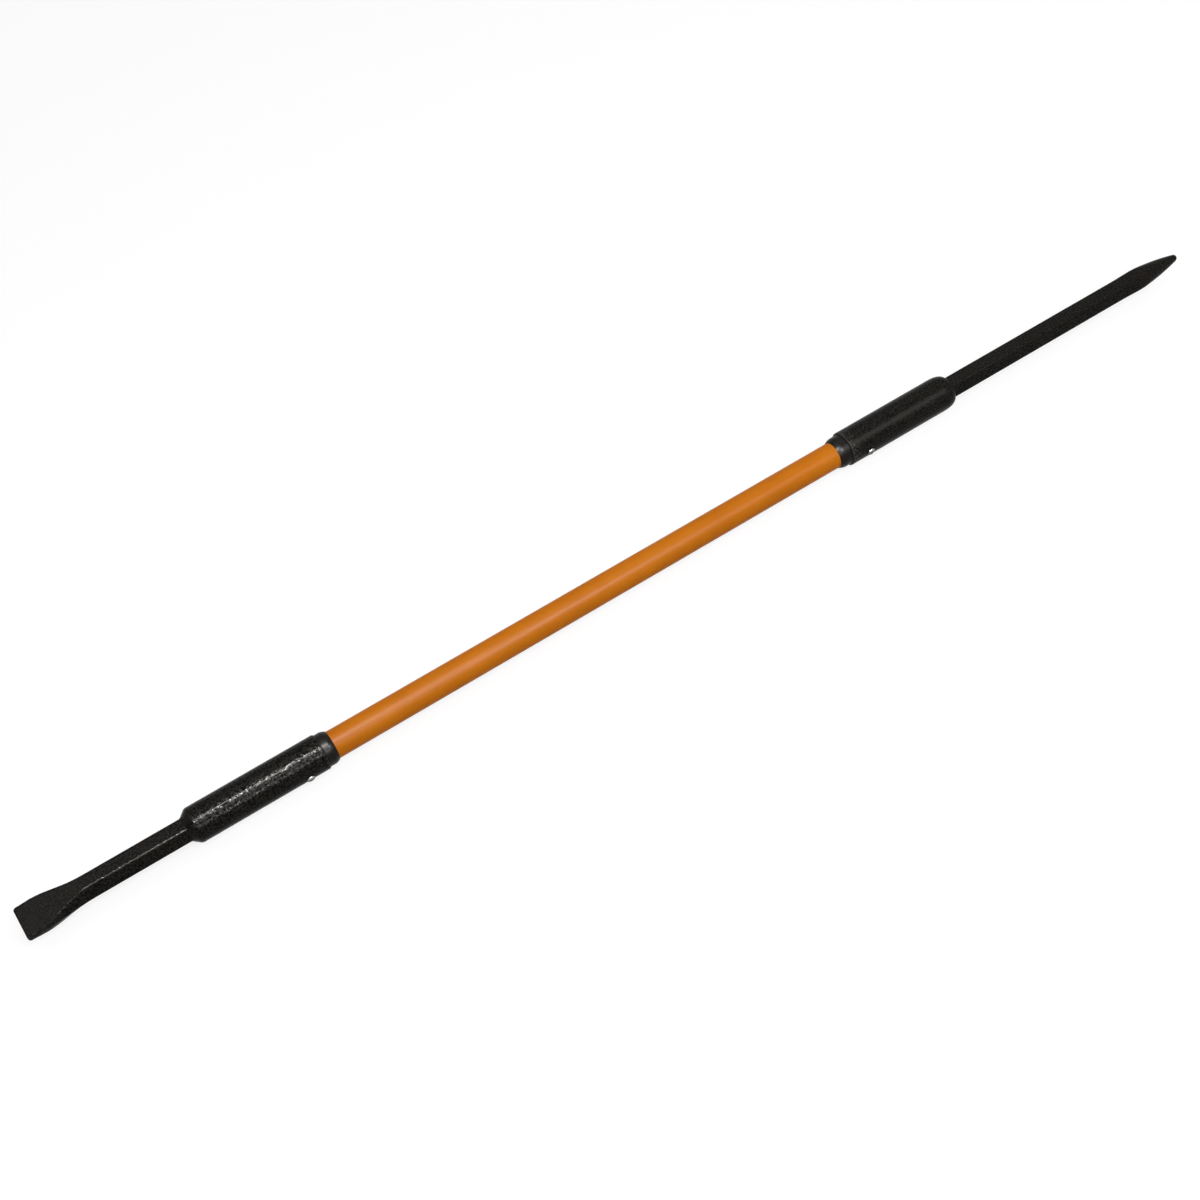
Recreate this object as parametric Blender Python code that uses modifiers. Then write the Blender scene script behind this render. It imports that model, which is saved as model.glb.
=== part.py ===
"""Insulated crowbar with a chisel head and a point head.

Two forged steel heads with hexagonal shanks are socketed onto a sheathed glass-fibre shaft. Each head is bonded,
fixed with one blind rivet, and closed by a moulded collar at its mouth.

Metres, +Z up. +X runs along the bar from the chisel to the point, and the blade lies flat. The origin is under the
middle of the bar, on the surface that it lies on.
"""

import math

import bmesh
import bpy
from mathutils import Matrix, Vector

# Lengths along the bar, from the chisel's edge to the tip of the point
BLADE_LENGTH = 0.070
CHISEL_SHANK_LENGTH = 0.1073
CHISEL_SHOULDER_LENGTH = 0.0085
CHISEL_SOCKET_LENGTH = 0.1462
CHISEL_COLLAR_LENGTH = 0.0125
SHAFT_EXPOSED_LENGTH = 0.6485
POINT_COLLAR_LENGTH = 0.0148
POINT_SOCKET_LENGTH = 0.1357
POINT_SHOULDER_LENGTH = 0.018
POINT_SHANK_LENGTH = 0.2915
POINT_TAPER_LENGTH = 0.071

# Shaft
SHEATH_DIAMETER = 0.031
SHEATH_WALL = 0.003

# Sockets
CHISEL_SOCKET_WALL = 0.00275
POINT_SOCKET_WALL = 0.00355
SOCKET_END_THICKNESS = 0.016
MOUTH_CHAMFER = 0.0007
CHISEL_SHOULDER_ROUNDING = 0.0022
POINT_SHOULDER_FULLNESS = 2.5

# Shanks and blade
HEX_ACROSS_FLATS = 0.0254
HEX_EDGE_ROUNDING = 0.0013
BLADE_EDGE_WIDTH = 0.0389
BLADE_NECK_WIDTH = 0.0377
BLADE_EDGE_THICKNESS = 0.0067
BLADE_EDGE_ROUNDING = 0.0018
BLADE_SIDE_CROWN = 0.0005
BLADE_STRAIGHT_LENGTH = 0.014
BLADE_WEDGE_LENGTH = 0.064
BLADE_CORNER_RADIUS = 0.003

# Point
POINT_TIP_RADIUS = 0.0046
POINT_SWELL = 0.0006
POINT_FULLNESS = 1.75

# Collars and bond
COLLAR_WALL = 0.0026
COLLAR_LIP = 0.0003
COLLAR_LAND_LENGTH = 0.001
COLLAR_SKIRT_LENGTH = 0.012
BOND_THICKNESS = 0.0009

# Blind rivets: the angle is measured about the bar, from the -Y side upwards
RIVET_SHANK_DIAMETER = 0.0048
RIVET_HEAD_DIAMETER = 0.0094
RIVET_HEAD_HEIGHT = 0.0019
RIVET_RIM_HEIGHT = 0.0004
RIVET_EYE_DIAMETER = 0.0030
RIVET_CORE_REACH = 0.007
MANDREL_HEAD_LENGTH = 0.003
MANDREL_SUNK = 0.0003
CHISEL_RIVET_SETBACK = 0.0237
CHISEL_RIVET_ANGLE = math.radians(-8)
POINT_RIVET_SETBACK = 0.0242
POINT_RIVET_ANGLE = math.radians(0)

# Clearance between pieces that touch on the real tool
FIT_GAP = 0.0003

# Mesh fineness
ROUND_STEPS = 48
INNER_STEPS = 36
RIVET_STEPS = 20
HOLE_STEPS = 24
ARC_STEPS = 5
SHOULDER_STEPS = 9
NOSE_STEPS = 8
EDGE_STEPS = 3
FLARE_STEPS = 12
TAPER_STEPS = 9
TIP_STEPS = 4
SHARP_ANGLE = math.radians(32)
MERGE_DISTANCE = 1e-6

# Stations along the bar
BAR_LENGTH = (
    BLADE_LENGTH + CHISEL_SHANK_LENGTH + CHISEL_SHOULDER_LENGTH + CHISEL_SOCKET_LENGTH
    + CHISEL_COLLAR_LENGTH + SHAFT_EXPOSED_LENGTH + POINT_COLLAR_LENGTH
    + POINT_SOCKET_LENGTH + POINT_SHOULDER_LENGTH + POINT_SHANK_LENGTH + POINT_TAPER_LENGTH
)
EDGE_X = -BAR_LENGTH / 2
BLADE_END_X = EDGE_X + BLADE_LENGTH
CHISEL_SHOULDER_X = BLADE_END_X + CHISEL_SHANK_LENGTH
CHISEL_SOCKET_X = CHISEL_SHOULDER_X + CHISEL_SHOULDER_LENGTH
CHISEL_MOUTH_X = CHISEL_SOCKET_X + CHISEL_SOCKET_LENGTH
CHISEL_BORE_X = CHISEL_SOCKET_X + SOCKET_END_THICKNESS
POINT_MOUTH_X = CHISEL_MOUTH_X + CHISEL_COLLAR_LENGTH + SHAFT_EXPOSED_LENGTH + POINT_COLLAR_LENGTH
POINT_SOCKET_X = POINT_MOUTH_X + POINT_SOCKET_LENGTH
POINT_BORE_X = POINT_SOCKET_X - SOCKET_END_THICKNESS
POINT_SHOULDER_X = POINT_SOCKET_X + POINT_SHOULDER_LENGTH
POINT_TAPER_X = POINT_SHOULDER_X + POINT_SHANK_LENGTH
TIP_X = POINT_TAPER_X + POINT_TAPER_LENGTH

# Radii that follow from the sizes above
SHEATH_RADIUS = SHEATH_DIAMETER / 2
SHEATH_BORE_RADIUS = SHEATH_RADIUS - SHEATH_WALL
CORE_RADIUS = SHEATH_BORE_RADIUS - FIT_GAP
BOND_INNER_RADIUS = SHEATH_RADIUS + FIT_GAP
BOND_OUTER_RADIUS = BOND_INNER_RADIUS + BOND_THICKNESS
BORE_RADIUS = BOND_OUTER_RADIUS + FIT_GAP
CHISEL_SOCKET_RADIUS = BORE_RADIUS + CHISEL_SOCKET_WALL
POINT_SOCKET_RADIUS = BORE_RADIUS + POINT_SOCKET_WALL
COLLAR_BORE_RADIUS = SHEATH_RADIUS + FIT_GAP
COLLAR_RADIUS = COLLAR_BORE_RADIUS + COLLAR_WALL
COLLAR_NOSE_RADIUS = COLLAR_BORE_RADIUS + COLLAR_LIP
HEX_HALF_FLATS = HEX_ACROSS_FLATS / 2
HEX_RADIUS = HEX_ACROSS_FLATS / math.sqrt(3)
RIVET_HOLE_RADIUS = RIVET_SHANK_DIAMETER / 2 + FIT_GAP
AXIS_HEIGHT = max(CHISEL_SOCKET_RADIUS, POINT_SOCKET_RADIUS) * math.cos(math.pi / ROUND_STEPS)


def clear_scene():
    for old in list(bpy.data.objects):
        bpy.data.objects.remove(old, do_unlink=True)


def new_collection(name):
    collection = bpy.data.collections.new(name)
    bpy.context.scene.collection.children.link(collection)
    return collection


def new_material(name, colour, roughness, metallic=0.0):
    material = bpy.data.materials.new(name)
    material.use_nodes = True
    shader = material.node_tree.nodes["Principled BSDF"]
    shader.inputs["Base Color"].default_value = (*colour, 1.0)
    shader.inputs["Roughness"].default_value = roughness
    shader.inputs["Metallic"].default_value = metallic
    return material


def evaluated_mesh(obj):
    """The object's mesh with its modifiers applied."""
    bpy.context.view_layer.update()
    graph = bpy.context.evaluated_depsgraph_get()
    return bpy.data.meshes.new_from_object(obj.evaluated_get(graph))


def bake(obj):
    """Applies the modifiers, and shades round surfaces smooth."""
    mesh = evaluated_mesh(obj)
    obj.modifiers.clear()
    obj.data = mesh
    mesh.shade_smooth()
    mesh.set_sharp_from_angle(angle=SHARP_ANGLE)
    return obj


def make_helper(obj):
    """Marks an object that only joins or cuts other pieces."""
    obj.hide_render = True
    obj.display_type = "WIRE"
    return obj


def signed_area(profile):
    """Twice the area that the profile encloses, positive where it runs anticlockwise."""
    following = profile[1:] + profile[:1]
    return sum(x0 * r1 - x1 * r0 for (x0, r0), (x1, r1) in zip(profile, following))


def turned(name, profile, steps, collection, closed=False):
    """A piece turned about its own X axis from (station, radius) points, with a flat facet facing -Z."""
    if signed_area(profile) < 0:
        profile = profile[::-1]
    half_step = math.pi / steps
    across = Vector((0.0, -math.sin(half_step), -math.cos(half_step)))
    points = [Vector((station, 0.0, 0.0)) + radius * across for station, radius in profile]
    edges = [(i, i + 1) for i in range(len(points) - 1)]
    if closed:
        edges.append((len(points) - 1, 0))
    mesh = bpy.data.meshes.new(name)
    mesh.from_pydata(points, edges, [])
    obj = bpy.data.objects.new(name, mesh)
    collection.objects.link(obj)
    screw = obj.modifiers.new("Turn", "SCREW")
    screw.axis = "X"
    screw.angle = 2 * math.pi
    screw.screw_offset = 0.0
    screw.steps = steps
    screw.render_steps = steps
    screw.use_merge_vertices = True
    screw.merge_threshold = MERGE_DISTANCE
    return obj


def boolean(obj, other, operation):
    modifier = obj.modifiers.new(operation.title() + " " + other.name, "BOOLEAN")
    modifier.operation = operation
    modifier.object = other
    return modifier


def loft(name, sections, collection):
    """A closed solid through sections of (station, outline), each outline with the same number of (y, z) points."""
    mesh = bpy.data.meshes.new(name)
    bm = bmesh.new()
    rings = [[bm.verts.new((station, y, z)) for y, z in outline] for station, outline in sections]
    for ring, following in zip(rings, rings[1:]):
        for i in range(len(ring)):
            j = (i + 1) % len(ring)
            bm.faces.new((ring[i], ring[j], following[j], following[i]))
    bm.faces.new(rings[0])
    bm.faces.new(rings[-1])
    bmesh.ops.recalc_face_normals(bm, faces=bm.faces)
    bm.to_mesh(mesh)
    bm.free()
    obj = bpy.data.objects.new(name, mesh)
    collection.objects.link(obj)
    return obj


def rounded_outline(corners, rounding):
    """A polygon whose corners are replaced by smooth arcs that start this far from each corner."""
    outline = []
    count = len(corners)
    sides = [(corners[(i + 1) % count] - corners[i]).length for i in range(count)]
    reach = min(rounding, 0.45 * min(sides))
    for i, corner in enumerate(corners):
        before = (corners[i - 1] - corner).normalized() * reach
        after = (corners[(i + 1) % count] - corner).normalized() * reach
        for step in range(EDGE_STEPS + 1):
            share = step / EDGE_STEPS
            outline.append(tuple(corner + before * (1 - share) ** 2 + after * share ** 2))
    return outline


def six_corners(top_half_width, side_half_width, half_height):
    """The corners of a flat-topped six-sided bar."""
    return [
        Vector((side_half_width, 0.0)),
        Vector((top_half_width, half_height)),
        Vector((-top_half_width, half_height)),
        Vector((-side_half_width, 0.0)),
        Vector((-top_half_width, -half_height)),
        Vector((top_half_width, -half_height)),
    ]


def hex_outline(scale=1.0, rounding=HEX_EDGE_ROUNDING):
    return rounded_outline(
        six_corners(scale * HEX_RADIUS / 2, scale * HEX_RADIUS, scale * HEX_HALF_FLATS), rounding
    )


def smoothstep(share):
    share = min(max(share, 0.0), 1.0)
    return share * share * (3 - 2 * share)


def mix(first, second, share):
    return first + (second - first) * share


def rounded_off(distance, radius):
    """How much a round corner of this radius takes off at a distance from the end."""
    rise = max(radius - distance, 0.0)
    return radius - math.sqrt(radius ** 2 - rise ** 2)


def blade_section(distance):
    """The outline of the chisel head at a distance from its cutting edge."""
    flare = smoothstep((BLADE_LENGTH - distance) / (BLADE_LENGTH - BLADE_STRAIGHT_LENGTH))
    wedge = min(distance / BLADE_WEDGE_LENGTH, 1.0)
    half_height = mix(BLADE_EDGE_THICKNESS, HEX_ACROSS_FLATS, wedge) / 2
    half_height -= rounded_off(distance, BLADE_EDGE_ROUNDING)
    splay = min(distance / BLADE_STRAIGHT_LENGTH, 1.0)
    blade_half_width = mix(BLADE_EDGE_WIDTH, BLADE_NECK_WIDTH, splay) / 2
    blade_half_width -= rounded_off(distance, BLADE_CORNER_RADIUS)
    side = mix(HEX_RADIUS, blade_half_width, flare)
    top = mix(HEX_RADIUS / 2, blade_half_width - BLADE_SIDE_CROWN, flare)
    return rounded_outline(six_corners(top, side, half_height), HEX_EDGE_ROUNDING)


def chisel_sections():
    corner = [BLADE_CORNER_RADIUS * (1 - math.cos(math.pi / 2 * i / ARC_STEPS)) for i in range(ARC_STEPS + 1)]
    straight = [mix(BLADE_CORNER_RADIUS, BLADE_STRAIGHT_LENGTH, i / 2) for i in (1, 2)]
    flare = [mix(BLADE_STRAIGHT_LENGTH, BLADE_LENGTH, i / FLARE_STEPS) for i in range(1, FLARE_STEPS + 1)]
    sections = [(EDGE_X + distance, blade_section(distance)) for distance in corner + straight + flare]
    sections.append((CHISEL_SOCKET_X + SOCKET_END_THICKNESS / 2, hex_outline()))
    return sections


def point_sections():
    sections = [(POINT_SOCKET_X - SOCKET_END_THICKNESS / 2, hex_outline())]
    sections.append((POINT_TAPER_X - POINT_TAPER_LENGTH / 3, hex_outline()))
    nose_scale = POINT_TIP_RADIUS / HEX_HALF_FLATS
    swell = 1 + POINT_SWELL / HEX_HALF_FLATS
    cone_length = POINT_TAPER_LENGTH - POINT_TIP_RADIUS
    for i in range(TAPER_STEPS + 1):
        share = i / TAPER_STEPS
        scale = mix(swell, nose_scale, share ** POINT_FULLNESS)
        rounding = mix(HEX_EDGE_ROUNDING, HEX_RADIUS, share)
        sections.append((POINT_TAPER_X + share * cone_length, hex_outline(scale, rounding)))
    for i in range(1, TIP_STEPS):
        turn = math.pi / 2 * i / TIP_STEPS
        station = POINT_TAPER_X + cone_length + POINT_TIP_RADIUS * math.sin(turn)
        sections.append((station, hex_outline(nose_scale * math.cos(turn), HEX_RADIUS)))
    last = math.pi / 2 * (TIP_STEPS - 0.5) / TIP_STEPS
    sections.append((TIP_X, hex_outline(nose_scale * math.cos(last), HEX_RADIUS)))
    return sections


def socket_profile(mouth, bore_end, toward_shank, radius, shoulder):
    """Half section of a socket: from the bore's end along the bore, round the mouth, to the shoulder's end."""
    return [
        (bore_end, 0.0),
        (bore_end, BORE_RADIUS),
        (mouth + toward_shank * MOUTH_CHAMFER, BORE_RADIUS),
        (mouth, BORE_RADIUS + MOUTH_CHAMFER),
        (mouth, radius - MOUTH_CHAMFER),
        (mouth + toward_shank * MOUTH_CHAMFER, radius),
        *shoulder,
        (shoulder[-1][0], 0.0),
    ]


def chisel_shoulder():
    """A cone with a rounded upper corner, as (station, radius) points from the socket to the shank."""
    foot = Vector((CHISEL_SHOULDER_X, HEX_HALF_FLATS))
    corner = Vector((CHISEL_SOCKET_X, CHISEL_SOCKET_RADIUS))
    along_socket = Vector((CHISEL_SHOULDER_ROUNDING, 0.0))
    along_cone = (foot - corner).normalized() * CHISEL_SHOULDER_ROUNDING
    points = []
    for i in range(ARC_STEPS + 1):
        share = i / ARC_STEPS
        points.append(tuple(corner + along_socket * (1 - share) ** 2 + along_cone * share ** 2))
    points.append(tuple(foot))
    return points


def point_shoulder():
    """A blunt rounded end, as a quarter superellipse from the socket's wall down to the shank."""
    drop = POINT_SOCKET_RADIUS - HEX_HALF_FLATS
    power = 2 / POINT_SHOULDER_FULLNESS
    points = [(POINT_SOCKET_X, POINT_SOCKET_RADIUS)]
    for i in range(1, SHOULDER_STEPS):
        turn = math.pi / 2 * i / SHOULDER_STEPS
        station = POINT_SOCKET_X + POINT_SHOULDER_LENGTH * math.sin(turn) ** power
        points.append((station, HEX_HALF_FLATS + drop * math.cos(turn) ** power))
    points.append((POINT_SHOULDER_X, HEX_HALF_FLATS))
    return points


def head(name, profile, shank, hole, collection):
    """A socket joined to its shank and drilled for its rivet."""
    obj = turned(name, profile, ROUND_STEPS, collection)
    boolean(obj, shank, "UNION")
    boolean(obj, hole, "DIFFERENCE")
    return bake(obj)


def sleeve(name, start, end, inner, outer, steps, collection):
    """A plain tube."""
    profile = [(start, inner), (end, inner), (end, outer), (start, outer)]
    return turned(name, profile, steps, collection, closed=True)


def collar(name, mouth, toward_shaft, length, collection):
    """A moulded ring: a skirt inside the socket's mouth, and a body with a rounded nose outside it."""
    seat = mouth + toward_shaft * FIT_GAP
    skirt_end = mouth - toward_shaft * COLLAR_SKIRT_LENGTH
    nose = mouth + toward_shaft * length
    nose_length = length - FIT_GAP - COLLAR_LAND_LENGTH
    profile = [
        (nose, COLLAR_BORE_RADIUS), (skirt_end, COLLAR_BORE_RADIUS), (skirt_end, BOND_OUTER_RADIUS),
        (seat, BOND_OUTER_RADIUS), (seat, COLLAR_RADIUS),
    ]
    for i in range(NOSE_STEPS + 1):
        turn = math.pi / 2 * i / NOSE_STEPS
        station = nose - toward_shaft * nose_length * (1 - math.sin(turn))
        profile.append((station, mix(COLLAR_NOSE_RADIUS, COLLAR_RADIUS, math.cos(turn))))
    return bake(turned(name, profile, ROUND_STEPS, collection, closed=True))


def rivet_frame(station, angle):
    """Turns a piece made along +X from the bar's axis so that it points outwards at this angle about the bar."""
    outward = Vector((0.0, -math.cos(angle), math.sin(angle)))
    along = Vector((1.0, 0.0, 0.0))
    sideways = outward.cross(along)
    columns = Matrix((outward, along, sideways)).transposed().to_4x4()
    return Matrix.Translation((station, 0.0, 0.0)) @ columns


def rivet_hole(name, station, angle, socket_radius, collection):
    """The drilled hole: through the socket, the bond and the sheath, and into the core."""
    bottom = CORE_RADIUS - RIVET_CORE_REACH - MANDREL_HEAD_LENGTH - 2 * FIT_GAP
    top = socket_radius + RIVET_HEAD_HEIGHT
    profile = [(bottom, 0.0), (bottom, RIVET_HOLE_RADIUS), (top, RIVET_HOLE_RADIUS), (top, 0.0)]
    obj = turned(name, profile, HOLE_STEPS, collection)
    obj.matrix_world = rivet_frame(station, angle)
    return make_helper(obj)


def rivet_body(name, station, angle, socket_radius, collection):
    """A domed head with an eye through it, on a tubular shank."""
    seat = socket_radius + FIT_GAP
    tail = CORE_RADIUS - RIVET_CORE_REACH
    eye = RIVET_EYE_DIAMETER / 2
    rim = RIVET_HEAD_DIAMETER / 2
    shank = RIVET_SHANK_DIAMETER / 2
    profile = [(tail, eye), (tail, shank), (seat, shank), (seat, rim)]
    dome = RIVET_HEAD_HEIGHT - RIVET_RIM_HEIGHT
    for i in range(ARC_STEPS + 1):
        radius = mix(rim, eye, i / ARC_STEPS)
        profile.append((seat + RIVET_RIM_HEIGHT + dome * math.sqrt(1 - (radius / rim) ** 2), radius))
    obj = turned(name, profile, RIVET_STEPS, collection, closed=True)
    obj.matrix_world = rivet_frame(station, angle)
    return bake(obj)


def rivet_mandrel(name, station, angle, socket_radius, collection):
    """The stub that stays in the rivet's eye, with its head behind the shank's tail."""
    seat = socket_radius + FIT_GAP
    tail = CORE_RADIUS - RIVET_CORE_REACH
    stub = RIVET_EYE_DIAMETER / 2 - FIT_GAP
    eye_share = RIVET_EYE_DIAMETER / RIVET_HEAD_DIAMETER
    dome = RIVET_HEAD_HEIGHT - RIVET_RIM_HEIGHT
    top = seat + RIVET_RIM_HEIGHT + dome * math.sqrt(1 - eye_share ** 2) - MANDREL_SUNK
    head_top = tail - FIT_GAP
    head_radius = RIVET_SHANK_DIAMETER / 2 - FIT_GAP
    head_bottom = head_top - MANDREL_HEAD_LENGTH
    profile = [
        (head_bottom, 0.0), (head_bottom, stub), (head_bottom + head_radius - stub, head_radius),
        (head_top, head_radius), (head_top, stub), (top, stub), (top, 0.0),
    ]
    obj = turned(name, profile, RIVET_STEPS, collection)
    obj.matrix_world = rivet_frame(station, angle)
    return bake(obj)


def main():
    clear_scene()
    bar = new_collection("insulated_crowbar")
    helpers = new_collection("helpers")

    black_forging = new_material("black_forging", (0.018, 0.017, 0.015), 0.55)
    orange_sheath = new_material("orange_sheath", (0.55, 0.16, 0.012), 0.45)
    black_moulding = new_material("black_moulding", (0.020, 0.020, 0.020), 0.40)
    bright_steel = new_material("bright_steel", (0.70, 0.70, 0.68), 0.25, metallic=1.0)
    grey_steel = new_material("grey_steel", (0.28, 0.28, 0.27), 0.40, metallic=1.0)
    glass_fibre = new_material("glass_fibre", (0.72, 0.70, 0.58), 0.50)
    cured_adhesive = new_material("cured_adhesive", (0.35, 0.30, 0.22), 0.60)

    chisel_rivet = (CHISEL_MOUTH_X - CHISEL_RIVET_SETBACK, CHISEL_RIVET_ANGLE, CHISEL_SOCKET_RADIUS)
    point_rivet = (POINT_MOUTH_X + POINT_RIVET_SETBACK, POINT_RIVET_ANGLE, POINT_SOCKET_RADIUS)
    chisel_hole = rivet_hole("chisel_rivet_hole", *chisel_rivet, helpers)
    point_hole = rivet_hole("point_rivet_hole", *point_rivet, helpers)
    chisel_shank = make_helper(loft("chisel_shank", chisel_sections(), helpers))
    point_shank = make_helper(loft("point_shank", point_sections(), helpers))

    chisel_socket = socket_profile(
        CHISEL_MOUTH_X, CHISEL_BORE_X, -1, CHISEL_SOCKET_RADIUS, chisel_shoulder()
    )
    point_socket = socket_profile(POINT_MOUTH_X, POINT_BORE_X, 1, POINT_SOCKET_RADIUS, point_shoulder())
    chisel_head = head("chisel_head", chisel_socket, chisel_shank, chisel_hole, bar)
    point_head = head("point_head", point_socket, point_shank, point_hole, bar)

    shaft_start = CHISEL_BORE_X + FIT_GAP
    shaft_end = POINT_BORE_X - FIT_GAP
    rod_profile = [(shaft_start, 0.0), (shaft_start, CORE_RADIUS), (shaft_end, CORE_RADIUS), (shaft_end, 0.0)]
    core_rod = turned("core_rod", rod_profile, INNER_STEPS, bar)
    sheath = sleeve(
        "insulating_sheath", shaft_start, shaft_end, SHEATH_BORE_RADIUS, SHEATH_RADIUS, ROUND_STEPS, bar
    )
    skirt_gap = COLLAR_SKIRT_LENGTH + FIT_GAP
    chisel_bond = sleeve(
        "chisel_bond", shaft_start, CHISEL_MOUTH_X - skirt_gap, BOND_INNER_RADIUS, BOND_OUTER_RADIUS, INNER_STEPS, bar
    )
    point_bond = sleeve(
        "point_bond", POINT_MOUTH_X + skirt_gap, shaft_end, BOND_INNER_RADIUS, BOND_OUTER_RADIUS, INNER_STEPS, bar
    )
    for piece, holes in (
        (core_rod, (chisel_hole, point_hole)),
        (sheath, (chisel_hole, point_hole)),
        (chisel_bond, (chisel_hole,)),
        (point_bond, (point_hole,)),
    ):
        for hole in holes:
            boolean(piece, hole, "DIFFERENCE")
        bake(piece)

    chisel_collar = collar("chisel_collar", CHISEL_MOUTH_X, 1, CHISEL_COLLAR_LENGTH, bar)
    point_collar = collar("point_collar", POINT_MOUTH_X, -1, POINT_COLLAR_LENGTH, bar)
    bodies = [
        rivet_body("chisel_rivet_body", *chisel_rivet, bar),
        rivet_body("point_rivet_body", *point_rivet, bar),
    ]
    mandrels = [
        rivet_mandrel("chisel_rivet_mandrel", *chisel_rivet, bar),
        rivet_mandrel("point_rivet_mandrel", *point_rivet, bar),
    ]

    for material, pieces in (
        (black_forging, [chisel_head, point_head]),
        (orange_sheath, [sheath]),
        (black_moulding, [chisel_collar, point_collar]),
        (bright_steel, bodies),
        (grey_steel, mandrels),
        (glass_fibre, [core_rod]),
        (cured_adhesive, [chisel_bond, point_bond]),
    ):
        for piece in pieces:
            piece.data.materials.clear()
            piece.data.materials.append(material)

    lift = bpy.data.objects.new("bar_axis", None)
    bar.objects.link(lift)
    for obj in list(bar.objects) + list(helpers.objects):
        if obj is not lift:
            obj.parent = lift
    lift.location.z = AXIS_HEIGHT


main()
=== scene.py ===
"""Looks of the insulated crowbar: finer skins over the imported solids, finishes, light and camera."""

import math

import bmesh
import bpy
from mathutils import Matrix, Quaternion, Vector, noise


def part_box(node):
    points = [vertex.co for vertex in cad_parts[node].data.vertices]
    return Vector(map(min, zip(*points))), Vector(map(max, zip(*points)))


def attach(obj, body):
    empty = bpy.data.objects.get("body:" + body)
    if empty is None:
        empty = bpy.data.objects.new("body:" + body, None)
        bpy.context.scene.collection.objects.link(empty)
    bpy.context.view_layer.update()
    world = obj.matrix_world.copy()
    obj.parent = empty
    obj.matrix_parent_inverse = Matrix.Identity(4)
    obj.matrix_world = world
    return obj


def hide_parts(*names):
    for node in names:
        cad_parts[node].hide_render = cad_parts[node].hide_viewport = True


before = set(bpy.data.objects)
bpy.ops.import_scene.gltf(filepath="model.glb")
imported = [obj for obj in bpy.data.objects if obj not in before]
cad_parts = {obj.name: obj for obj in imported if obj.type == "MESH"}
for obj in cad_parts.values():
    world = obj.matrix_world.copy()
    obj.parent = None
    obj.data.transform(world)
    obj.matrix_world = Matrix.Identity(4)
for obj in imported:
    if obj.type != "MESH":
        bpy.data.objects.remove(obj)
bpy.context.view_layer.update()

# Places read from the imported parts, in metres
SHEATH_LOW, SHEATH_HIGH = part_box("insulating_sheath")
AXIS_HEIGHT = (SHEATH_LOW.z + SHEATH_HIGH.z) / 2
SHEATH_RADIUS = (SHEATH_HIGH.y - SHEATH_LOW.y) / 2
CORE_LOW, CORE_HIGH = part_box("core_rod")
CORE_RADIUS = (CORE_HIGH.y - CORE_LOW.y) / 2
BOND_LOW, BOND_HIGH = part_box("chisel_bond")
BOND_RADIUS = (BOND_HIGH.y - BOND_LOW.y) / 2
FIT_GAP = 0.0003

# The two ends, with the way along X from each head to the shaft
ENDS = {"chisel": 1, "point": -1}

# All skins: points this close, or equal to this many decimals, are one point
WELD_DISTANCE = 1e-6
POINT_DECIMALS = 7

# Edges past these angles stay sharp, in degrees
SHEATH_SHARP_ANGLE = 35
TURNED_SHARP_ANGLE = 40

# Forged skins, whose turned stretch runs from the mouth to the foot of the shoulder
SKIN_STEP = 0.0009
EDGE_SOFTENING = 0.5
EDGE_SOFTENING_PASSES = 1
SOCKET_SIDES = 48
TURNED_LENGTH = {"chisel": 0.1547, "point": 0.1537}

# Unevenness of the forged skins: layers of noise as (size, depth), and a lift that comes before them
SKIN_NOISE = {
    "chisel": ((0.034, 0.00004), (0.009, 0.00003), (0.0024, 0.00012)),
    "point": ((0.040, 0.00006), (0.011, 0.00004), (0.0036, 0.00006)),
}
SKIN_LIFT = {"chisel": 0.00019, "point": 0}

# Sheath
SHEATH_SIDES = 96
SHEATH_RING_STEP = 0.005
SHEATH_END_ROUNDING = 0.0006
SHEATH_NOISE = ((0.055, 0.00005), (0.016, 0.00002))

# Collars
COLLAR_SIDES = 96
COLLAR_LIP = 0.0003
COLLAR_LAND_SHARE = 0.5
COLLAR_EDGE_ROUNDING = 0.0002
COLLAR_NOSE_STEPS = 16
COLLAR_NOSE_CURVE = 1.6
COLLAR_SKIRT_LENGTH = 0.012

# Rivets
RIVET_SIDES = 48
RIVET_DOME_STEPS = 12
RIVET_RIM_HEIGHT = 0.0004
RIVET_EDGE_ROUNDING = 0.0002
RIVET_HEAD_HEIGHT = 0.0019
RIVET_HEAD_RADIUS = 0.0047
RIVET_SHANK_RADIUS = 0.0024
RIVET_EYE_RADIUS = 0.0015
STUB_RADIUS = 0.0013
STUB_HEAD_RADIUS = 0.0021
STUB_HEAD_LENGTH = 0.003
STUB_BREAK_DEPTH = 0.0003
STUB_BREAK_RADIUS = 0.00091

# Paint on the forgings: its grain as (scale, height, least roughness, most roughness)
PAINT_GRAIN = {"chisel": (480, 0.00024, 0.07, 0.36), "point": (600, 0.00010, 0.20, 0.40)}
PAINT_SHINE = 0.042

# Wear at the sockets' mouths: its share at the mouth, its length along the bar and the scale of its flecks
MOUTH_WEAR = {"chisel": 0.4, "point": 0.9}
MOUTH_WEAR_LENGTH = 0.014
MOUTH_FLECK_SCALE = 480

# Other finishes; the rivets get a painted highlight, a lighter colour on their upper side, from the first
# height over their middle to the second
SHEATH_SHINE = 0.045
MOULDING_SHINE = 0.08
RIVET_PAINTED_HIGHLIGHT = (0.0016, 0.0030)

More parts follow.
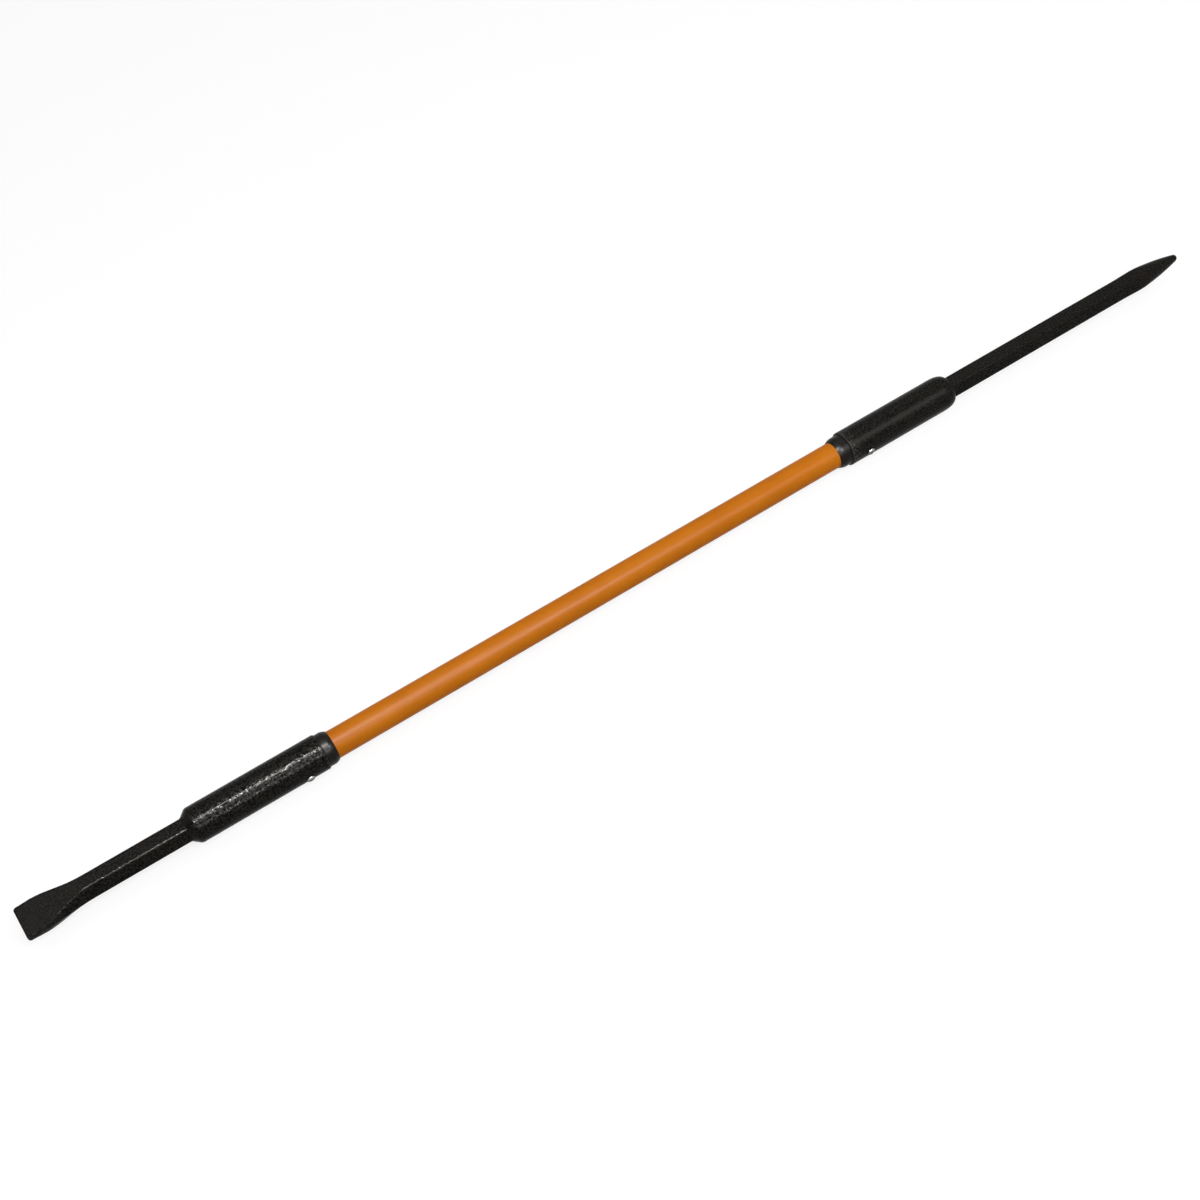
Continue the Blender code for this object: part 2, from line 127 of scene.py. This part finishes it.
# Colours, linear
BLACK_PAINT = (0.0016, 0.0015, 0.0012, 1)
BLACK_PAINT_PALE = (0.0132, 0.0122, 0.0098, 1)
PAINT_WARM = (0.0110, 0.0082, 0.0066, 1)
PAINT_SPECK = (0.030, 0.028, 0.024, 1)
# Paler paint of worn edges and mouths, and also a painted highlight along the ridges
PAINT_WEAR_AND_HIGHLIGHT = (0.070, 0.066, 0.060, 1)
ORANGE = (0.555, 0.163, 0.0052, 1)
ORANGE_DEEP = (0.515, 0.146, 0.0042, 1)
ORANGE_SCUFF = (0.58, 0.21, 0.030, 1)
MOULDING_BLACK = (0.0056, 0.0050, 0.0042, 1)
MOULDING_PALE = (0.0084, 0.0076, 0.0064, 1)
# The rivets' lightest steel colour is a painted highlight for their upper side
STEEL_PAINTED_HIGHLIGHT = (0.32, 0.317, 0.309, 1)
STEEL_DULL = (0.12, 0.118, 0.115, 1)
STEEL_SOILED = (0.07, 0.069, 0.066, 1)
STUB_GREY = (0.14, 0.137, 0.131, 1)
STUB_DARK = (0.06, 0.059, 0.056, 1)
FIBRE_PALE = (0.72, 0.70, 0.58, 1)
FIBRE_DEEP = (0.55, 0.52, 0.40, 1)
ADHESIVE = (0.35, 0.30, 0.22, 1)
ADHESIVE_DARK = (0.25, 0.21, 0.15, 1)
FLOOR_COLOUR = (0.24, 0.24, 0.24, 1)
WHITE = (1, 1, 1, 1)

# Camera at the photo's viewing angle, placed from the middle of the bar's axis
BAR_MIDDLE = Vector((0, 0, AXIS_HEIGHT))
CAMERA_PLACE = BAR_MIDDLE + Vector((-0.61653, -0.87823, 1.52114))
CAMERA_AIM = BAR_MIDDLE + Vector((-0.09407, -0.01055, 0))
CAMERA_ROLL = math.radians(3.542)
CAMERA_LENS = 51
CAMERA_SENSOR = 36

# Soft boxes light the bar, and strips show only in its shiny surfaces. All stand round the bar's axis,
# given as (along, angle from level in front, distance, length, depth, watts).
SOFT_BOXES = {
    "back_box": (-0.20, 120, 1.90, 4.20, 0.75, 12),
    "chisel_box": (-0.65, 67, 1.60, 1.20, 0.60, 12),
    "point_box": (0.85, 58, 1.60, 1.30, 1.10, 14.5),
}
STRIPS = {
    "back_strip": (-1.45, 120, 1.88, 1.30, 0.75, 5),
    "chisel_glow": (-0.65, 67, 1.58, 1.20, 0.60, 2),
    "chisel_strip": (-0.42, 83, 1.30, 0.60, 0.06, 82),
    "front_strip": (-0.42, 42, 1.30, 0.50, 0.10, 11),
    "middle_strip": (0.18, 62, 1.40, 0.22, 0.05, 44),
    "point_strip": (0.95, 60, 1.40, 0.60, 0.50, 8),
}
STRIP_COLOUR = (1, 0.965, 0.935)

# Surround and floor: the surround's strength as light and as it is seen, and the floor's as it is seen
SURROUND_LIGHT = 0.30
SURROUND_SEEN = 0.87
FLOOR_SEEN = 0.80
FLOOR_SIZE = 200
FLOOR_CLEARANCE = 0.0004


def new_piece(name, mesh, matrix=Matrix.Identity(4)):
    """A new object for a mesh, put in its place and linked to the scene."""
    piece = bpy.data.objects.new(name, mesh)
    bpy.context.scene.collection.objects.link(piece)
    piece.matrix_world = matrix
    return piece


def shade(piece, sharp_angle):
    """Shades a piece smooth, apart from edges sharper than the angle in degrees."""
    piece.data.shade_smooth()
    piece.data.set_sharp_from_angle(angle=math.radians(sharp_angle))


def lathe(name, profile, sides, matrix):
    """A closed solid: a loop of (along, radius) points turned round the X axis of its own frame."""
    solid = bmesh.new()
    turns = [math.tau * side / sides for side in range(sides)]
    rings = []
    for along, radius in profile:
        places = [(along, radius * math.cos(turn), radius * math.sin(turn)) for turn in turns]
        rings.append([solid.verts.new(place) for place in places])
    for ring, following in zip(rings, rings[1:] + rings[:1]):
        for side in range(sides):
            after = (side + 1) % sides
            solid.faces.new((ring[side], ring[after], following[after], following[side]))
    bmesh.ops.remove_doubles(solid, verts=solid.verts[:], dist=WELD_DISTANCE)
    bmesh.ops.recalc_face_normals(solid, faces=solid.faces[:])
    mesh = bpy.data.meshes.new(name)
    solid.to_mesh(mesh)
    solid.free()
    return new_piece(name, mesh, matrix)


def bar_frame(along, way=1):
    """The matrix that puts a lathe's own X axis on the bar's axis, running the given way."""
    turn = Matrix.Identity(4) if way > 0 else Matrix.Rotation(math.pi, 4, "Z")
    return Matrix.Translation((along, 0, AXIS_HEIGHT)) @ turn


def apply_modifiers(piece):
    """Replaces a piece's mesh by what its modifiers make of it."""
    bpy.context.view_layer.update()
    evaluated = piece.evaluated_get(bpy.context.evaluated_depsgraph_get())
    mesh = bpy.data.meshes.new_from_object(evaluated)
    piece.modifiers.clear()
    piece.data = mesh


def roughen(mesh, layers, lift=0.0):
    """Lifts the points of a skin along their normals, and sinks them by layers of noise."""
    normals = [vertex.normal.copy() for vertex in mesh.vertices]
    for vertex, normal in zip(mesh.vertices, normals):
        depth = sum(depth * (0.5 + 0.5 * noise.noise(vertex.co / size)) for size, depth in layers)
        vertex.co += normal * (lift - depth)


def weld(mesh):
    """Joins the points of a mesh that lie in one place."""
    welded = bmesh.new()
    welded.from_mesh(mesh)
    bmesh.ops.remove_doubles(welded, verts=welded.verts[:], dist=WELD_DISTANCE)
    bmesh.ops.dissolve_degenerate(welded, edges=welded.edges[:], dist=WELD_DISTANCE)
    welded.to_mesh(mesh)
    welded.free()


def welded_copy(node):
    """A copy of a node's mesh, with the points that lie in one place joined."""
    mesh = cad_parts[node].data.copy()
    weld(mesh)
    return mesh


def dress(piece, material, node):
    """Gives a piece its material, and has it ride on the bar in place of a CAD node."""
    piece.data.materials.clear()
    piece.data.materials.append(material)
    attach(piece, "root")
    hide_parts(node)


def mouth_of(end):
    """Where along the bar the mouth of a head's socket is."""
    low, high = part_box(end + "_head")
    return high.x if ENDS[end] > 0 else low.x


def press_round(mesh, start, end):
    """Presses the flat sides of a turned stretch round, to the circle that just fits inside them."""
    side = math.tau / SOCKET_SIDES
    for vertex in mesh.vertices:
        if start <= vertex.co.x <= end:
            drop = AXIS_HEIGHT - vertex.co.z
            off_middle = (math.atan2(vertex.co.y, drop) + side / 2) % side - side / 2
            vertex.co.y *= math.cos(off_middle)
            vertex.co.z = AXIS_HEIGHT - drop * math.cos(off_middle)


def even_mesh(piece):
    """Replaces a piece's mesh by an even, fine one with softened edges."""
    remesh = piece.modifiers.new("even_grid", "REMESH")
    remesh.mode = "VOXEL"
    remesh.voxel_size = SKIN_STEP
    smooth = piece.modifiers.new("soft_edges", "SMOOTH")
    smooth.factor = EDGE_SOFTENING
    smooth.iterations = EDGE_SOFTENING_PASSES
    apply_modifiers(piece)


def forged_skin(end):
    """A forged head as an even, fine mesh with softened edges and an uneven surface."""
    node = end + "_head"
    piece = new_piece(node + "_skin", welded_copy(node))
    even_mesh(piece)
    mouth = mouth_of(end)
    press_round(piece.data, *sorted((mouth, mouth - ENDS[end] * TURNED_LENGTH[end])))
    roughen(piece.data, SKIN_NOISE[end], SKIN_LIFT[end])
    low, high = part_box(node)
    for vertex in piece.data.vertices:
        vertex.co.x = min(max(vertex.co.x, low.x), high.x)
    piece.data.shade_smooth()
    return piece


def drill(piece, end):
    """Drills a piece for a rivet, from the bar's axis out past its surface."""
    radius = RIVET_SHANK_RADIUS + FIT_GAP
    reach_out = 2 * SHEATH_RADIUS
    profile = [(0, 0), (0, radius), (reach_out, radius), (reach_out, 0)]
    cutter = lathe("cutter", profile, RIVET_SIDES, rivet_frame(*rivet_axis(end)))
    cut = piece.modifiers.new("drill", "BOOLEAN")
    cut.operation = "DIFFERENCE"
    cut.object = cutter
    apply_modifiers(piece)
    weld(piece.data)
    bpy.data.objects.remove(cutter)


def sheath_skin():
    """The sheath as a fine tube with a slightly uneven surface, drilled for the rivets."""
    start, end = SHEATH_LOW.x, SHEATH_HIGH.x
    bore = CORE_RADIUS + FIT_GAP
    ring_count = round((end - start) / SHEATH_RING_STEP)
    profile = [(start, bore), (start, SHEATH_RADIUS - SHEATH_END_ROUNDING)]
    for ring in range(ring_count + 1):
        inset = SHEATH_END_ROUNDING * (1 - 2 * ring / ring_count)
        profile.append((start + (end - start) * ring / ring_count + inset, SHEATH_RADIUS))
    profile += [(end, SHEATH_RADIUS - SHEATH_END_ROUNDING), (end, bore)]
    piece = lathe("sheath_skin", profile, SHEATH_SIDES, bar_frame(0))
    roughen(piece.data, SHEATH_NOISE)
    for rivet_end in ENDS:
        drill(piece, rivet_end)
    shade(piece, SHEATH_SHARP_ANGLE)
    return piece


def collar_skin(end):
    """A collar: a skirt in the socket's mouth, a land against it and a nose curving in to the shaft."""
    low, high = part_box(end + "_collar")
    inner, outer = SHEATH_RADIUS + FIT_GAP, (high.y - low.y) / 2
    lip = inner + COLLAR_LIP
    length = high.x - low.x
    seat = COLLAR_SKIRT_LENGTH + FIT_GAP
    land_end = seat + COLLAR_LAND_SHARE * (length - seat)
    profile = [(0, inner), (0, BOND_RADIUS), (seat, BOND_RADIUS), (seat, outer - COLLAR_EDGE_ROUNDING)]
    profile.append((seat + COLLAR_EDGE_ROUNDING, outer))
    for step in range(COLLAR_NOSE_STEPS + 1):
        share = step / COLLAR_NOSE_STEPS
        along = land_end + (length - land_end) * share
        profile.append((along, outer - (outer - lip) * share ** COLLAR_NOSE_CURVE))
    profile.append((length, inner))
    start = low.x if ENDS[end] > 0 else high.x
    piece = lathe(end + "_collar_skin", profile, COLLAR_SIDES, bar_frame(start, ENDS[end]))
    shade(piece, TURNED_SHARP_ANGLE)
    return piece


def rivet_axis(end):
    """Where a rivet's line leaves the bar's axis, and its direction outwards."""
    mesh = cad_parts[end + "_rivet_mandrel"].data
    points = {tuple(round(value, POINT_DECIMALS) for value in vertex.co) for vertex in mesh.vertices}
    middle = sum((Vector(point) for point in points), Vector()) / len(points)
    foot = Vector((middle.x, 0, AXIS_HEIGHT))
    return foot, (middle - foot).normalized()


def rivet_frame(foot, outward):
    """The matrix whose X axis runs out along a rivet from the bar's axis."""
    along_bar = Vector((1, 0, 0))
    rotation = Matrix((outward, along_bar, outward.cross(along_bar))).transposed().to_4x4()
    return Matrix.Translation(foot) @ rotation


def reach(node, foot, outward):
    """How near and how far from the bar's axis a node lies along a direction."""
    spans = [(vertex.co - foot).dot(outward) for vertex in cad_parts[node].data.vertices]
    return min(spans), max(spans)


def rivet_body_skin(end):
    """A rivet's body: its tubular shank, its rim and the dome round its eye."""
    foot, outward = rivet_axis(end)
    inner, top = reach(end + "_rivet_body", foot, outward)
    dome = RIVET_HEAD_HEIGHT - RIVET_RIM_HEIGHT
    last_turn = math.acos(RIVET_EYE_RADIUS / RIVET_HEAD_RADIUS)
    rim_top = top - dome * math.sin(last_turn)
    seat = rim_top - RIVET_RIM_HEIGHT
    profile = [(inner, RIVET_EYE_RADIUS), (inner, RIVET_SHANK_RADIUS), (seat, RIVET_SHANK_RADIUS)]
    profile.append((seat, RIVET_HEAD_RADIUS - RIVET_EDGE_ROUNDING))
    profile.append((seat + RIVET_EDGE_ROUNDING, RIVET_HEAD_RADIUS))
    for step in range(RIVET_DOME_STEPS + 1):
        turn = last_turn * step / RIVET_DOME_STEPS
        profile.append((rim_top + dome * math.sin(turn), RIVET_HEAD_RADIUS * math.cos(turn)))
    piece = lathe(end + "_rivet_body_skin", profile, RIVET_SIDES, rivet_frame(foot, outward))
    shade(piece, TURNED_SHARP_ANGLE)
    return piece


def rivet_stub_skin(end):
    """The mandrel's stub in the rivet's eye: its broken top, and its head behind the shank's tail."""
    foot, outward = rivet_axis(end)
    low, high = reach(end + "_rivet_mandrel", foot, outward)
    head_top = low + STUB_HEAD_LENGTH
    profile = [
        (low, 0), (low, STUB_RADIUS), (low + STUB_HEAD_RADIUS - STUB_RADIUS, STUB_HEAD_RADIUS),
        (head_top, STUB_HEAD_RADIUS), (head_top, STUB_RADIUS), (high - STUB_BREAK_DEPTH, STUB_RADIUS),
        (high, STUB_BREAK_RADIUS), (high - STUB_BREAK_DEPTH, 0),
    ]
    piece = lathe(end + "_rivet_mandrel_skin", profile, RIVET_SIDES, rivet_frame(foot, outward))
    shade(piece, TURNED_SHARP_ANGLE)
    return piece


class Finish:
    """A procedural material being made: its node tree, its shader and the object's own coordinates."""

    # Places of the Mix node's colour sockets, whose names its other sockets share
    MIX_FIRST, MIX_SECOND, MIX_RESULT = 6, 7, 2

    def __init__(self, name):
        self.material = bpy.data.materials.new(name)
        self.material.use_nodes = True
        self.tree = self.material.node_tree
        self.shader = self.tree.nodes["Principled BSDF"]
        self.coordinates = self.tree.nodes.new("ShaderNodeTexCoord").outputs["Object"]

    def link(self, output, socket):
        self.tree.links.new(output, socket)

    def set(self, **values):
        """Sets sockets of the shader by name, with underscores for spaces."""
        for name, value in values.items():
            self.shader.inputs[name.replace("_", " ")].default_value = value

    def scaled(self, scale):
        """The object's own coordinates, scaled along each axis."""
        mapping = self.tree.nodes.new("ShaderNodeMapping")
        mapping.inputs["Scale"].default_value = scale
        self.link(self.coordinates, mapping.inputs["Vector"])
        return mapping.outputs["Vector"]

    def noise(self, scale, detail=4, roughness=0.55, stretch=(1, 1, 1)):
        """Noise of a feature size of about one over the scale, in metres, pulled out by the stretch."""
        texture = self.tree.nodes.new("ShaderNodeTexNoise")
        texture.inputs["Scale"].default_value = scale
        texture.inputs["Detail"].default_value = detail
        texture.inputs["Roughness"].default_value = roughness
        self.link(self.scaled([1 / pull for pull in stretch]), texture.inputs["Vector"])
        return texture.outputs["Fac"]

    def along(self, axis):
        """The place along an axis of the object's own frame."""
        parts = self.tree.nodes.new("ShaderNodeSeparateXYZ")
        self.link(self.coordinates, parts.inputs["Vector"])
        return parts.outputs[axis]

    def ramp(self, value, low, high, start=0.0, end=1.0):
        """A value clamped between low and high and spread from start to end."""
        spread = self.tree.nodes.new("ShaderNodeMapRange")
        spread.inputs["From Min"].default_value = low
        spread.inputs["From Max"].default_value = high
        spread.inputs["To Min"].default_value = start
        spread.inputs["To Max"].default_value = end
        self.link(value, spread.inputs["Value"])
        return spread.outputs["Result"]

    def cloud(self, scale, low=0.35, high=0.65):
        """Soft patches of a size of about one over the scale, in metres."""
        return self.ramp(self.noise(scale), low, high)

    def times(self, first, second):
        """The product of two outputs."""
        product = self.tree.nodes.new("ShaderNodeMath")
        product.operation = "MULTIPLY"
        self.link(first, product.inputs[0])
        self.link(second, product.inputs[1])
        return product.outputs["Value"]

    def mix(self, share, first, second):
        """A colour between two, each a colour or an output."""
        blend = self.tree.nodes.new("ShaderNodeMix")
        blend.data_type = "RGBA"
        self.link(share, blend.inputs["Factor"])
        for colour, place in ((first, self.MIX_FIRST), (second, self.MIX_SECOND)):
            if isinstance(colour, tuple):
                blend.inputs[place].default_value = colour
            else:
                self.link(colour, blend.inputs[place])
        return blend.outputs[self.MIX_RESULT]

    def bump(self, height, distance, strength=1.0, under=None):
        """A bump of a height in metres, over another bump if one is given."""
        node = self.tree.nodes.new("ShaderNodeBump")
        node.inputs["Strength"].default_value = strength
        node.inputs["Distance"].default_value = distance
        self.link(height, node.inputs["Height"])
        if under is not None:
            self.link(under, node.inputs["Normal"])
        return node.outputs["Normal"]

    def colour(self, output):
        self.link(output, self.shader.inputs["Base Color"])

    def roughness(self, output):
        self.link(output, self.shader.inputs["Roughness"])

    def normal(self, output):
        self.link(output, self.shader.inputs["Normal"])


def worn_mouth(finish, end):
    """How far the paint is worn off in flecks near the mouth of a head's socket."""
    mouth = mouth_of(end)
    worn_end = mouth - ENDS[end] * MOUTH_WEAR_LENGTH
    nearness = finish.ramp(finish.along("X"), mouth, worn_end, start=MOUTH_WEAR[end], end=0)
    fleck = finish.ramp(finish.noise(MOUTH_FLECK_SCALE, detail=2), 0.50, 0.62)
    return finish.times(nearness, fleck)


def edge_wear_and_highlight(finish):
    """How far the sharper edges are painted paler, unevenly: partly worn paint, partly a painted highlight
    along the ridges.
    """
    geometry = finish.tree.nodes.new("ShaderNodeNewGeometry")
    edge = finish.ramp(geometry.outputs["Pointiness"], 0.52, 0.565)
    return finish.times(edge, finish.ramp(finish.noise(160), 0.35, 0.60, start=0.25))


def black_forging(end):
    """Black paint on a forging: grained, warm in patches, specked, worn paler at its mouth, and paler at
    its edges from wear and a painted highlight.
    """
    finish = Finish(end + "_black_forging")
    finish.set(Specular_IOR_Level=PAINT_SHINE)
    grain_scale, grain_height, smoothest, roughest = PAINT_GRAIN[end]
    grain = finish.noise(grain_scale, detail=0)
    colour = finish.mix(finish.ramp(grain, 0.35, 0.65), BLACK_PAINT, BLACK_PAINT_PALE)
    patch = finish.ramp(finish.noise(42, detail=5), 0.52, 0.68, end=0.7)
    colour = finish.mix(patch, colour, PAINT_WARM)
    speck = finish.ramp(finish.noise(2 * grain_scale, detail=2), 0.64, 0.74, end=0.6)
    colour = finish.mix(speck, colour, PAINT_SPECK)
    colour = finish.mix(worn_mouth(finish, end), colour, PAINT_WEAR_AND_HIGHLIGHT)
    # The edges are painted paler: partly wear, partly a painted highlight along the ridges
    finish.colour(finish.mix(edge_wear_and_highlight(finish), colour, PAINT_WEAR_AND_HIGHLIGHT))
    gloss = finish.noise(grain_scale, detail=1)
    finish.roughness(finish.ramp(gloss, 0.42, 0.58, start=smoothest, end=roughest))
    finish.normal(finish.bump(grain, grain_height))
    return finish.material


def orange_sheath():
    """Satin orange plastic, faintly scuffed along its length."""
    finish = Finish("orange_sheath")
    finish.set(Specular_IOR_Level=SHEATH_SHINE)
    streak = finish.noise(520, detail=3, roughness=0.5, stretch=(60, 1, 1))
    scratch = finish.noise(900, detail=2, roughness=0.5, stretch=(25, 1, 1))
    scuff = finish.ramp(scratch, 0.66, 0.78, end=0.35)
    colour = finish.mix(finish.cloud(22), ORANGE, ORANGE_DEEP)
    finish.colour(finish.mix(scuff, colour, ORANGE_SCUFF))
    finish.roughness(finish.ramp(streak, 0.3, 0.7, start=0.35, end=0.45))
    fine = finish.bump(streak, 0.00004, strength=0.6)
    finish.normal(finish.bump(finish.noise(750, detail=2), 0.00003, strength=0.5, under=fine))
    return finish.material


def black_moulding():
    """Satin black plastic with a fine moulded grain."""
    finish = Finish("black_moulding")
    finish.set(Specular_IOR_Level=MOULDING_SHINE)
    finish.colour(finish.mix(finish.cloud(150), MOULDING_BLACK, MOULDING_PALE))
    grain = finish.noise(1400, detail=2)
    finish.roughness(finish.ramp(grain, 0.3, 0.7, start=0.28, end=0.42))
    finish.normal(finish.bump(grain, 0.00006, strength=0.5))
    return finish.material


def bright_steel():
    """Plated steel, dull and soiled in patches, with a painted highlight along the rivet's upper side."""
    finish = Finish("bright_steel")
    finish.set(Metallic=1.0)
    cloud = finish.cloud(900, 0.4, 0.7)
    plating = finish.mix(cloud, STEEL_DULL, STEEL_SOILED)
    # The upper side is painted lighter than the plating: a painted highlight
    painted_highlight = finish.ramp(finish.along("Z"), *RIVET_PAINTED_HIGHLIGHT)
    finish.colour(finish.mix(painted_highlight, plating, STEEL_PAINTED_HIGHLIGHT))
    finish.roughness(finish.ramp(cloud, 0, 1, start=0.22, end=0.42))
    finish.normal(finish.bump(finish.noise(2500, detail=3), 0.00004, strength=0.6))
    return finish.material


def grey_steel():
    """Dull steel of a snapped rivet mandrel."""
    finish = Finish("grey_steel")
    finish.set(Metallic=0.8)
    cloud = finish.cloud(2200)
    finish.colour(finish.mix(cloud, STUB_GREY, STUB_DARK))
    finish.roughness(finish.ramp(cloud, 0, 1, start=0.45, end=0.65))
    finish.normal(finish.bump(finish.noise(3000), 0.0001, strength=0.8))
    return finish.material


def glass_fibre():
    """Pale glass-fibre rod with its rovings lying along it."""
    finish = Finish("glass_fibre")
    roving = finish.noise(900, detail=3, roughness=0.5, stretch=(80, 1, 1))
    finish.colour(finish.mix(finish.ramp(roving, 0.35, 0.65), FIBRE_PALE, FIBRE_DEEP))
    finish.roughness(finish.ramp(roving, 0.3, 0.7, start=0.4, end=0.55))
    finish.normal(finish.bump(roving, 0.00006, strength=0.6))
    return finish.material


def cured_adhesive():
    """Dull cured adhesive with a lumpy surface."""
    finish = Finish("cured_adhesive")
    cloud = finish.cloud(300)
    finish.colour(finish.mix(cloud, ADHESIVE, ADHESIVE_DARK))
    finish.roughness(finish.ramp(cloud, 0, 1, start=0.5, end=0.7))
    finish.normal(finish.bump(finish.noise(600), 0.0001, strength=0.6))
    return finish.material


def strength_when_seen(tree, seen_strength, other_strength):
    """One strength for rays that see a surface, straight or in a reflection, and another for light."""
    path = tree.nodes.new("ShaderNodeLightPath")
    seen = path.outputs["Is Camera Ray"]
    for ray in ("Is Glossy Ray", "Is Transmission Ray"):
        either = tree.nodes.new("ShaderNodeMath")
        either.operation = "MAXIMUM"
        tree.links.new(seen, either.inputs[0])
        tree.links.new(path.outputs[ray], either.inputs[1])
        seen = either.outputs["Value"]
    strength = tree.nodes.new("ShaderNodeMapRange")
    strength.inputs["To Min"].default_value = other_strength
    strength.inputs["To Max"].default_value = seen_strength
    tree.links.new(seen, strength.inputs["Value"])
    return strength.outputs["Result"]


def floor_material():
    """A pale floor that shows white where it is lit and keeps the bar's shadow."""
    material = bpy.data.materials.new("floor")
    material.use_nodes = True
    tree = material.node_tree
    tree.nodes.clear()
    glow = tree.nodes.new("ShaderNodeEmission")
    tree.links.new(strength_when_seen(tree, FLOOR_SEEN, 0), glow.inputs["Strength"])
    lit = tree.nodes.new("ShaderNodeBsdfDiffuse")
    lit.inputs["Color"].default_value = FLOOR_COLOUR
    both = tree.nodes.new("ShaderNodeAddShader")
    tree.links.new(glow.outputs["Emission"], both.inputs[0])
    tree.links.new(lit.outputs["BSDF"], both.inputs[1])
    output = tree.nodes.new("ShaderNodeOutputMaterial")
    tree.links.new(both.outputs["Shader"], output.inputs["Surface"])
    return material


def floor():
    """The floor that the bar lies on."""
    half = FLOOR_SIZE / 2
    corners = [(x * half, y * half, -FLOOR_CLEARANCE) for x, y in ((-1, -1), (1, -1), (1, 1), (-1, 1))]
    mesh = bpy.data.meshes.new("floor")
    mesh.from_pydata(corners, [], [(0, 1, 2, 3)])
    piece = new_piece("floor", mesh)
    piece.data.materials.append(floor_material())


def lamp(name, along, angle, distance, length, depth, power):
    """A rectangular lamp, long along the bar, facing its axis from an angle above level in front."""
    data = bpy.data.lights.new(name, "AREA")
    data.shape = "RECTANGLE"
    data.size = length
    data.size_y = depth
    data.energy = power
    turn = math.radians(angle)
    foot = Vector((along, 0, AXIS_HEIGHT))
    box = bpy.data.objects.new(name, data)
    bpy.context.scene.collection.objects.link(box)
    box.location = foot + distance * Vector((0, -math.cos(turn), math.sin(turn)))
    box.rotation_euler = (math.pi / 2 - turn, 0, 0)
    return box


def surround():
    """An even pale surround."""
    world = bpy.data.worlds.new("surround")
    world.use_nodes = True
    background = world.node_tree.nodes["Background"]
    background.inputs["Color"].default_value = WHITE
    strength = strength_when_seen(world.node_tree, SURROUND_SEEN, SURROUND_LIGHT)
    world.node_tree.links.new(strength, background.inputs["Strength"])
    bpy.context.scene.world = world


def lights():
    """The lamps and the surround."""
    for name, settings in SOFT_BOXES.items():
        lamp(name, *settings)
    for name, settings in STRIPS.items():
        strip = lamp(name, *settings)
        strip.visible_diffuse = False
        strip.data.color = STRIP_COLOUR
    surround()


def camera():
    """The camera at the photo's viewing angle."""
    data = bpy.data.cameras.new("camera")
    data.lens = CAMERA_LENS
    data.sensor_width = CAMERA_SENSOR
    eye = bpy.data.objects.new("camera", data)
    bpy.context.scene.collection.objects.link(eye)
    level = (CAMERA_AIM - CAMERA_PLACE).to_track_quat("-Z", "Y")
    turn = level @ Quaternion((0, 0, 1), -CAMERA_ROLL)
    eye.matrix_world = Matrix.Translation(CAMERA_PLACE) @ turn.to_matrix().to_4x4()
    bpy.context.scene.camera = eye


def build():
    """Makes every piece, material, lamp and the camera."""
    moulding, steel, stub_steel, adhesive = black_moulding(), bright_steel(), grey_steel(), cured_adhesive()
    plain = {"core_rod": glass_fibre()}
    for end in ENDS:
        dress(forged_skin(end), black_forging(end), end + "_head")
        dress(collar_skin(end), moulding, end + "_collar")
        dress(rivet_body_skin(end), steel, end + "_rivet_body")
        dress(rivet_stub_skin(end), stub_steel, end + "_rivet_mandrel")
        plain[end + "_bond"] = adhesive
    dress(sheath_skin(), orange_sheath(), "insulating_sheath")
    for node, material in plain.items():
        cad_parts[node].data.materials.clear()
        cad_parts[node].data.materials.append(material)
    floor()
    lights()
    camera()


bpy.context.scene.view_settings.view_transform = "Standard"
build()
